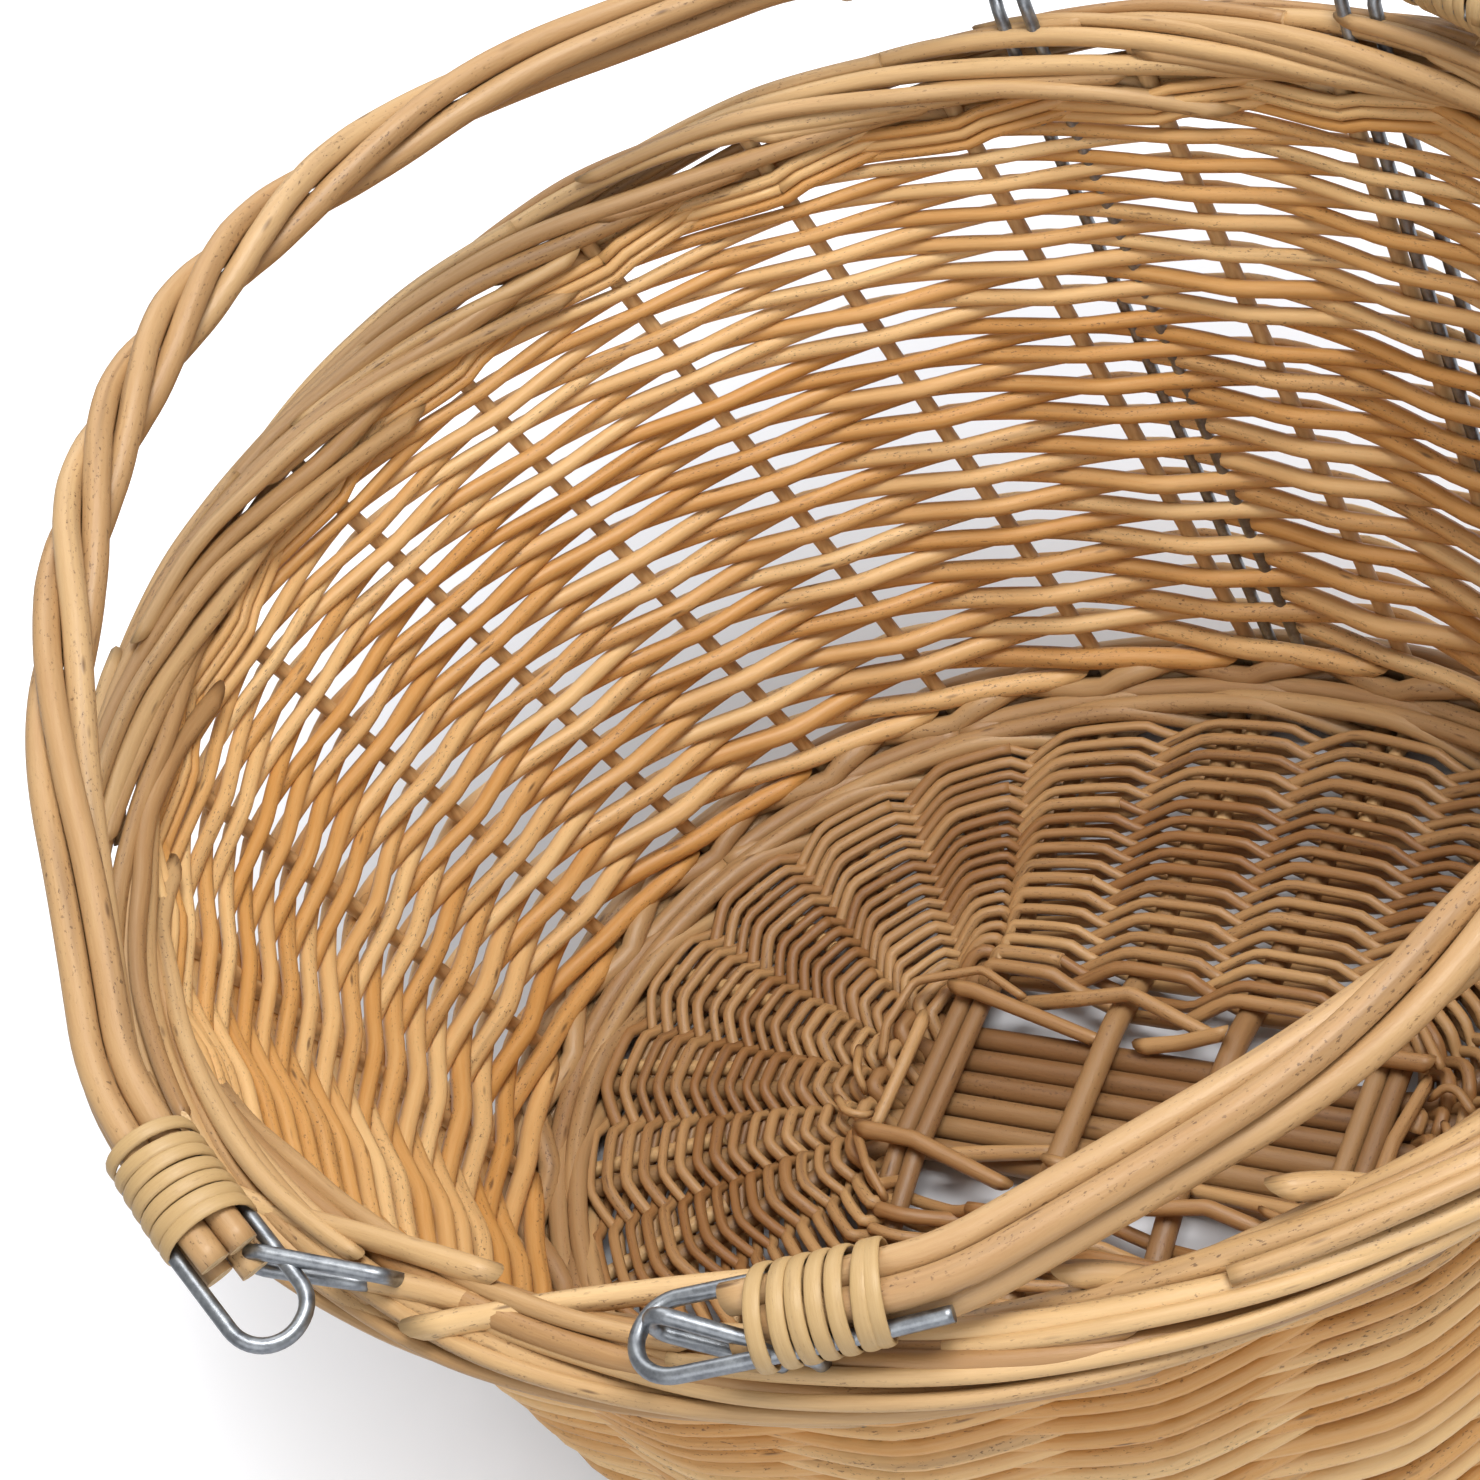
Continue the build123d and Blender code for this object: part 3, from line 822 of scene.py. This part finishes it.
# %% Weavers and loose strokes of the base
base_bands = [RodBand(sides=10), RodBand(sides=10)]
add_base_weaver(base_bands, 1)
add_base_weaver(base_bands, -1)
SLATH_STROKES = (
    (2.1, ((-60.5, 24.4, 18.8), (-55.4, 24.4, 18.5), (-20.4, 19.3, 11.6))),
    (2.1, ((-43.8, 27.4, 11.0), (-27.5, 26.7, 17.8), (-13.0, 30.5, 18.6), (10.6, 25.1, 12.0))),
    (2.3, ((-68.3, -22.6, 18.8), (-54.2, -22.7, 18.5), (-29.1, -27.2, 11.6))),
    (1.9, ((-66.3, 13.6, 18.0), (-66.2, 0.3, 18.0), (-67.9, -18.7, 15.0))),
    (2.2, ((-7.4, 19.6, 11.6), (2.9, 20.8, 14.0), (15.2, 22.5, 18.8))),
    (2.2, ((-45.5, -22.2, 12.5), (-35.9, -19.7, 12.5), (-20.1, -15.9, 12.0))),
    (1.3, ((-74.8, 2.2, 15.0), (-75.2, 9.4, 19.0), (-71.8, 23.0, 21.0),
           (-54.4, 29.8, 21.0), (-42.0, 25.2, 18.0))),
    (1.2, ((-82.0, 2.8, 15.0), (-78.0, -5.4, 19.0), (-75.7, -8.6, 15.0))),
    (1.2, ((-81.2, -13.2, 15.0), (-74.2, -19.8, 19.0), (-70.9, -15.8, 15.0))),
    (1.3, ((-70.7, -23.4, 17.0), (-63.3, -33.0, 19.0), (-57.1, -38.7, 15.0))),
)
for radius, points in SLATH_STROKES:
    for half_turn in (1, -1):
        turned = [np.array(point) * (half_turn, half_turn, 1) for point in points]
        line = rounded_line(turned, 4.0, 1.5)
        radii = radius * np.linspace(1.05, 0.9, len(line))
        base_bands[0].add(line, radii, LUCK.uniform(0, 0.7), slants=(1.0, 1.5))
base_bands[0].build("base_rods_inner", BASE_WILLOW, "basket", "brown_willow", ["base_weave"])
base_bands[1].build("base_rods_outer", BASE_WILLOW, "basket", "brown_willow")

# %% [markdown]
# At the rim each stake bends over, passes inside the next stake,
# slants over the top across the stakes beyond and tucks in under the outer edge.
# Thinner ends lie along the outer edge like the strands of a rope. A few stray
# rods and cut ends lie where the photograph shows them.

# %% Border
# The outward places and heights of a rod along the rim, counted in stake spaces.
BORDER_SPACES = (-0.03, 0.02, 0.12, 0.5, 1.0, 1.6, 2.3, 3.0, 3.7, 4.3, 4.9)
BORDER_OUT = (0.0, -0.4, -2.0, -4.2, -4.6, -3.0, 0.5, 5.0, 8.6, 9.8, 9.0)
BORDER_UP = (188.0, 193.0, 196.5, 197.6, 199.0, 203.0, 206.6, 207.0, 204.0, 199.5, 196.3)
EDGE_SPACES = (-1.2, -0.6, 0.0, 0.8, 1.6, 2.4, 3.0)
EDGE_OUT = (4.5, 7.0, 9.6, 11.0, 10.4, 8.0, 5.0)
EDGE_UP = (207.3, 207.6, 205.0, 201.5, 197.8, 195.6, 195.0)
RIM_DROP = 8
BORDER_SPREAD = 0.6
BORDER_RADIUS = 2.7
SECOND_RADIUS = 2.1
SECOND_SHIFT = 0.42
EDGE_SHIFT = 0.45
EDGE_RADIUS = 1.85
STRAY_RADIUS = 2.3


def rim_point(count, z, outward):
    """Points on the rim, by stake count, height and distance outward."""
    flat = oval(stake_turn(count, HIGH_Z), 0 * z + RIM_Z - RIM_DROP, outward)
    flat[:, 2] = z
    return flat


def border_rod(number, spaces, outs, ups):
    """One end of a stake, laid down into the border."""
    marks = np.linspace(spaces[0], spaces[-1], 60)
    wander = np.interp(marks, np.linspace(spaces[0], spaces[-1], 7), LUCK.normal(0, BORDER_SPREAD, 7))
    height = np.interp(marks, spaces, ups) + wander
    line = rim_point(number + marks, height, np.interp(marks, spaces, outs) + wander)
    for smoothing in range(4):
        line[1:-1] = (line[:-2] + line[1:-1] * 2 + line[2:]) / 4
    return even_points(line, 3.0)


# Each cut end has its cut face first, and then the end hidden in the border.
CUT_END_BOW = np.array((0, 0, 1.5))
STRAY_SPACES = (0.0, 0.8, 1.6, 2.4, 3.2)
STRAY_OUT = (-5.0, -7.4, -6.0, -1.5, 2.5)
STRAY_UP = (187.0, 197.0, 204.6, 209.0, 209.6)
STRAY_STARTS = (0.7, 4.6, 8.2, 9.3, 11.4, 12.6, 14.1, 21.7)
CUT_ENDS = (
    ((-43.7, -181.0, 209.0), (0.8, -180.2, 204.0)),
    ((-14.8, -175.2, 210.0), (-80.6, -169.6, 205.0)),
    ((-24.3, -187.8, 208.0), (34.9, -161.3, 203.0)),
    ((-196.0, -40.2, 206.0), (-190.0, -66.0, 201.0)),
    ((-81.8, -169.2, 207.0), (-58.3, -172.0, 203.0)),
    ((95.2, -150.6, 208.5), (109.0, -143.5, 198.0)),
    ((126.4, -126.5, 208.5), (139.5, -117.2, 198.0)),
)


def border_tone(number):
    """The tone of a border rod, deeper on the left side of the basket."""
    left = math.cos(math.radians(HIGH_ANGLES[int(number) % STAKES])) < -0.3
    return LUCK.uniform(0, 0.8) + (0.25 if left else 0.0)


border_band = RodBand(sides=12)
edge_band = RodBand(sides=10)
for number in range(STAKES):
    line = border_rod(number, BORDER_SPACES, BORDER_OUT, BORDER_UP)
    radii = BORDER_RADIUS * LUCK.uniform(0.86, 1.08) * np.linspace(1.06, 0.86, len(line))
    border_band.add(line, radii, border_tone(number), slants=(0, 2.2))
    line = border_rod(number + SECOND_SHIFT, BORDER_SPACES, BORDER_OUT, BORDER_UP)
    line = line[12:-int(LUCK.integers(12, 60))]
    radii = SECOND_RADIUS * LUCK.uniform(0.86, 1.08) * np.linspace(1.0, 0.8, len(line))
    border_band.add(line, radii, border_tone(number), slants=(1.5, 2.2))
    line = border_rod(number + EDGE_SHIFT, EDGE_SPACES, EDGE_OUT, EDGE_UP)
    radii = EDGE_RADIUS * LUCK.uniform(0.9, 1.1) * np.linspace(1.0, 0.8, len(line))
    edge_band.add(line, radii, LUCK.uniform(0, 1), slants=(0, 2.0))
for start in STRAY_STARTS:
    line = border_rod(start, STRAY_SPACES, STRAY_OUT, STRAY_UP)
    radii = STRAY_RADIUS * np.linspace(1.08, 0.8, len(line))
    border_band.add(line, radii, border_tone(start), slants=(2.0, 2.0))
for cut, hidden in CUT_ENDS:
    marks = np.linspace(0, 1, 14)[:, None]
    line = np.array(cut) * (1 - marks) + np.array(hidden) * marks + CUT_END_BOW * (marks - marks**2) * 4
    border_band.add(line, BORDER_RADIUS * (1 - 0.15 * marks[:, 0]), LUCK.uniform(0, 0.6), slants=(1.6, 0))
border_band.build("border_rods", BORDER_WILLOW, "basket", "pale_willow", ["border"])
edge_band.build("border_edge_rods", BORDER_WILLOW, "basket", "pale_willow")

# %% [markdown]
# A handle is four rods round a common middle line. They run side by side at the
# ends, where the wire eye lies in the grooves between them, and twist slowly
# over the arch. Flat cane holds each end and its wires together. The eyes hang
# loose on the anchors, so each end sits a little off the place it has in the CAD
# model, as in the photograph.

# %% Galvanised wire
def galvanised(name):
    """Dull zinc on steel wire, with a fine cloudy bloom."""
    material, n, shader = new_finish(name)
    place = n.add("ShaderNodeTexCoord").outputs["Object"]
    bloom = n.noise(place, 420.0, 5.0, 0.65)
    colour = n.mix(n.ramp(bloom, 0.3, 0.7), (0.17, 0.18, 0.20, 1), (0.36, 0.38, 0.40, 1))
    rough = n.math("ADD", 0.24, n.math("MULTIPLY", bloom, 0.3))
    bump = n.add("ShaderNodeBump", {"Height": bloom, "Strength": 0.15, "Distance": 0.0002})
    n.feed(shader, {"Base Color": colour, "Roughness": rough, "Metallic": 1.0})
    n.feed(shader, {"Normal": bump.outputs["Normal"]})
    return material


WIRE = galvanised("galvanised_wire")
WIRE_RADIUS = 1.6
WIRE_STEP = 1.2
print("wire finish:", WIRE.name)


# %% Handle rods, cane bindings and wire eyes
HINGE_Z = 221.278
LEAN = math.radians(27.7)
LEG_WAY = np.array([math.sin(LEAN), math.cos(LEAN)])
SIDE_WAY = np.array([math.cos(LEAN), -math.sin(LEAN)])
EYE_SHIFT = 2.366
# Near and far end of the hinge line, the side the handle falls to, and its tilt.
HANDLES = {
    "left": ((-50.0, -181.0), (-43.5, 181.0), -1, 67.0),
    "right": ((29.0, -181.0), (43.5, 181.0), 1, 90.0),
}
# The tables below go by handle and end: -1 is the near end and 1 the far one.
ROD_STARTS = {("left", -1): 5.0, ("left", 1): 17.0, ("right", -1): 18.0, ("right", 1): 18.0}
END_SLIDES = {("left", -1): 13.0, ("left", 1): 9.0, ("right", -1): 4.0, ("right", 1): 9.0}
LOOP_DROPS = {("left", -1): 9.0, ("left", 1): 3.0, ("right", -1): 1.0, ("right", 1): 2.0}
LEG_ENDS = {
    ("left", -1): (36.0, 38.0),
    ("left", 1): (36.0, 38.0),
    ("right", -1): (57.0, 42.0),
    ("right", 1): (40.0, 42.0),
}
EYE_OFFSET = 8.0
EYE_BEND = 7.6
SLIDE_START = 20.0
SLIDE_RUN = 90.0
STRAIGHT_LEG = 57.0
SHOULDER = (-102.6, 99.5)
ARCH_TOP = (0, 147.8)
HANDLE_BENDS = (50, 150, 160, 150, 50)


class HandlePlane:
    """The plane of a handle, with u along the hinge and v away from it."""

    def __init__(self, name, front, back, side, tilt):
        self.name = name
        front = np.array([*front, HINGE_Z])
        back = np.array([*back, HINGE_Z])
        self.origin = (front + back) / 2
        self.along = (back - front) / np.linalg.norm(back - front)
        outward = np.array([self.along[1], -self.along[0], 0]) * side
        turn = math.radians(tilt)
        self.up = outward * math.sin(turn) + np.array([0, 0, math.cos(turn)])
        self.across = np.cross(self.along, self.up)
        self.half_span = np.linalg.norm(back - front) / 2
        self.base = np.array([-self.half_span - EYE_SHIFT, 0.0])

    def slid(self, flat):
        """Plane coordinates near the ends, slid outward along the hinge."""
        flat = np.array(np.atleast_2d(flat), float)
        way = np.where(flat[:, 0] < 0, -1, 1)
        slide = np.where(way < 0, END_SLIDES[self.name, -1], END_SLIDES[self.name, 1])
        share = np.clip(1 - (flat[:, 1] - SLIDE_START) / SLIDE_RUN, 0, 1)
        flat[:, 0] += way * slide * share**2 * (3 - 2 * share)
        return flat

    def place(self, flat, height=0.0):
        """World points of plane coordinates and a height off the plane."""
        flat = self.slid(flat)
        height = np.broadcast_to(height, len(flat))
        return self.origin + flat[:, :1] * self.along + flat[:, 1:2] * self.up + height[:, None] * self.across

    def line(self):
        """The middle line of the handle in plane coordinates."""
        bends = [self.base + LEG_WAY * STRAIGHT_LEG, np.array(SHOULDER)]
        first, last = [self.base + LEG_WAY * ROD_STARTS[self.name, way] for way in (-1, 1)]
        there = [point * (-1, 1) for point in reversed(bends)]
        corners = [first, *bends, np.array(ARCH_TOP), *there, last * (-1, 1)]
        points = [np.append(point, 0) for point in corners]
        return rounded_line(points, HANDLE_BENDS, 3.0)[:, :2]


TWIST_START = 45.0
TWIST = 3.5 * math.pi
HANDLE_RODS = 4
HANDLE_ROD_RADIUS = 3.1
HANDLE_ROD_RING = 3.2 * math.sqrt(2)


def add_handle_rods(band, plane):
    """Four rods that twist round the middle line of a handle."""
    flat = plane.line()
    middle = plane.place(flat)
    ways = directions(middle)
    runs = np.concatenate([[0], np.cumsum(np.linalg.norm(np.diff(middle, axis=0), axis=1))])
    share = np.clip((runs - TWIST_START) / (runs[-1] - 2 * TWIST_START), 0, 1)
    turn = TWIST * (share - np.sin(2 * math.pi * share) / (2 * math.pi))
    aside = np.cross(ways, plane.across)
    for rod in range(HANDLE_RODS):
        angle = turn + math.pi / 4 + rod * 2 * math.pi / HANDLE_RODS
        offset = np.cos(angle)[:, None] * aside + np.sin(angle)[:, None] * plane.across
        line = middle + offset * HANDLE_ROD_RING
        ends = [int(LUCK.integers(0, 3)), len(line) - int(LUCK.integers(0, 3))]
        line = line[ends[0]:ends[1]]
        marks = np.linspace(0, 1, len(line))
        radii = HANDLE_ROD_RADIUS * (1.02 - 0.08 * marks + 0.02 * np.sin(marks * 17 + rod))
        band.add(line, radii, LUCK.uniform(0, 1), slants=(0.3, 0.3))


CANE_REACH = 8.9
CANE_SQUARENESS = 0.55
CANE_HALF_WIDTH = 1.65
CANE_FLATNESS = 0.36
CANE_TILT = 0.9
POINTS_PER_TURN = 28


def add_binding(band, plane, mirror, turns):
    """Flat cane wound round one end of a handle, with a place for each turn."""
    count = len(turns) - 1
    marks = np.linspace(0, count, count * POINTS_PER_TURN + 1)
    angle = marks * 2 * math.pi
    tilts = np.interp(marks, range(count + 1), LUCK.uniform(-CANE_TILT, CANE_TILT, count + 1))
    along = np.interp(marks, range(count + 1), turns) + tilts * np.sin(angle)
    reach = CANE_REACH + CANE_SQUARENESS * np.cos(2 * angle)
    flat = plane.base + along[:, None] * LEG_WAY + (np.cos(angle) * reach)[:, None] * SIDE_WAY
    flat = flat * (mirror, 1)
    side = np.cos(angle)[:, None] * (SIDE_WAY * (mirror, 1))
    points = plane.place(flat, np.sin(angle) * reach)
    out = side[:, :1] * plane.along + side[:, 1:2] * plane.up + np.sin(angle)[:, None] * plane.across
    band.add(points, CANE_HALF_WIDTH, LUCK.uniform(0, 1), sides=out, flat=CANE_FLATNESS)


def add_eye(plane, end, mirror):
    """The wire loop of one end, with its legs in the grooves between the rods."""
    drop = LEG_WAY * LOOP_DROPS[plane.name, -mirror]
    outer, inner = LEG_ENDS[plane.name, -mirror]
    reach = np.array([EYE_OFFSET / math.cos(LEAN), 0])
    corners = [plane.base - reach - drop, plane.base + reach - drop]
    first = plane.base - SIDE_WAY * EYE_OFFSET + LEG_WAY * outer
    last = plane.base + SIDE_WAY * EYE_OFFSET + LEG_WAY * inner
    points = [np.append(point * (mirror, 1), 0) for point in (first, *corners, last)]
    band = RodBand(sides=14)
    band.add(plane.place(rounded_line(points, EYE_BEND, WIRE_STEP)[:, :2]), WIRE_RADIUS, 0.5)
    node_name = f"handle_{plane.name}_eye_{end}"
    band.build(f"{node_name}_wire", WIRE, f"handle_{plane.name}", "wire", [node_name], WIRE)


RIGHT_TURNS = (20.6, 26.0, 29.5, 33.0, 36.5, 40.0, 44.0, 45.0)
BINDING_TURNS = {
    ("left", -1): (18.0, 21.3, 24.5, 28.0, 31.2, 34.6, 38.0, 41.5),
    ("left", 1): (19.0, 22.4, 25.8, 29.2, 32.6, 36.0, 39.4, 42.4),
    ("right", -1): RIGHT_TURNS,
    ("right", 1): RIGHT_TURNS,
}
for side, (front, back, way, tilt) in HANDLES.items():
    plane = HandlePlane(side, front, back, way, tilt)
    rods = RodBand(sides=16)
    add_handle_rods(rods, plane)
    nodes = [f"handle_{side}_rod_{i + 1}" for i in range(HANDLE_RODS)]
    rods.build(f"handle_{side}_rods", HANDLE_WILLOW, f"handle_{side}", "pale_willow", nodes)
    for end, mirror in (("front", 1), ("back", -1)):
        cane = RodBand(sides=12)
        add_binding(cane, plane, mirror, BINDING_TURNS[side, -mirror])
        node_name = f"handle_{side}_binding_{end}"
        cane.build(f"handle_{side}_cane_{end}", CANE, f"handle_{side}", "cane", [node_name])
        add_eye(plane, end, mirror)

# %% [markdown]
# Each anchor is a hairpin of wire. Its legs stand inside the wall, come up through
# the border and bend over towards the eye that hangs on it. The side stakes stay
# as they are in the CAD model and get a willow finish of their own.


# %% Wires and stakes
def standing_willow(name):
    """Willow for the upright stakes, with streaks that run up them."""
    material, n, shader = new_finish(name)
    place = n.add("ShaderNodeTexCoord").outputs["Object"]
    stretched = n.add("ShaderNodeMapping", {0: place, 3: (1.0, 1.0, 0.12)}).outputs[0]
    streaks = n.noise(stretched, 700.0, 4.0)
    patches = n.noise(place, 60.0, 2.0)
    colour = n.mix(n.ramp(streaks, 0.3, 0.7), (0.66, 0.43, 0.20, 1), (0.46, 0.26, 0.10, 1))
    stain = n.math("MULTIPLY", n.ramp(patches, 0.5, 0.72), 0.6)
    n.feed(shader, {"Base Color": n.mix(stain, colour, (0.28, 0.15, 0.07, 1)), "Roughness": 0.55})
    return material


ANCHOR_HALF_WIDTH = 3.8
ANCHOR_BENDS = (10, 3.4, 3.4, 3.4, 3.4, 10)
BELOW_KNEE = 0.09
# Foot, knee and tip of the hairpin, and how far inside the wall its legs stand.
ANCHORS = {
    "front_left": ((-76.5, -131.3, 12.0), (-36.0, -183.0, 213.5), (-59.0, -188.0, 221.5), 4.5),
    "front_right": ((6.8, -146.6, 12.0), (56.0, -180.5, 214.0), (30.0, -183.0, 222.5), 4.5),
    "back_left": ((-6.8, 146.6, 12.0), (-43.5, 180.0, 214.0), (-49.0, 190.0, 225.0), 1.5),
    "back_right": ((76.5, 131.3, 12.0), (43.5, 180.0, 214.0), (49.0, 190.0, 225.0), 1.5),
}


def unit(vector):
    """The vector with length one."""
    return vector / np.linalg.norm(vector)


def add_anchor(place, foot, knee, tip, inside):
    """One hairpin: up a leg, over at the knee, round the bend and down again."""
    foot, knee, tip = (np.array(point) for point in (foot, knee, tip))
    inward = -unit(np.array([knee[0] / RIM_HALF[0] ** 2, knee[1] / RIM_HALF[1] ** 2, 0])) * inside
    below = knee + (foot - knee) * BELOW_KNEE + inward
    toward = unit(tip - knee)
    lift = unit(np.cross(toward, (0, 1, 0)))
    lift = lift if lift[0] > 0 else -lift
    across = np.array([1.0, 0, 0])
    miter = (across + lift) / (1 + across @ lift)
    way = [foot + inward, below, knee, tip]
    sides = [across, across, miter, lift]
    up = [point + side * ANCHOR_HALF_WIDTH for point, side in zip(way, sides)]
    down = [point - side * ANCHOR_HALF_WIDTH for point, side in zip(way, sides)]
    line = rounded_line(up + down[::-1], ANCHOR_BENDS, WIRE_STEP)
    band = RodBand(sides=14)
    band.add(line, WIRE_RADIUS, 0.5, first_side=across)
    band.build(f"anchor_{place}_wire", WIRE, "basket", "wire", [f"anchor_{place}"], WIRE)


STANDING = standing_willow("standing_willow")
for node_name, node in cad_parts.items():
    if node_name.startswith("side_stake"):
        node.data.materials.clear()
        node.data.materials.append(STANDING)
for place, points in ANCHORS.items():
    add_anchor(place, *points)
print("wires and stakes finished")
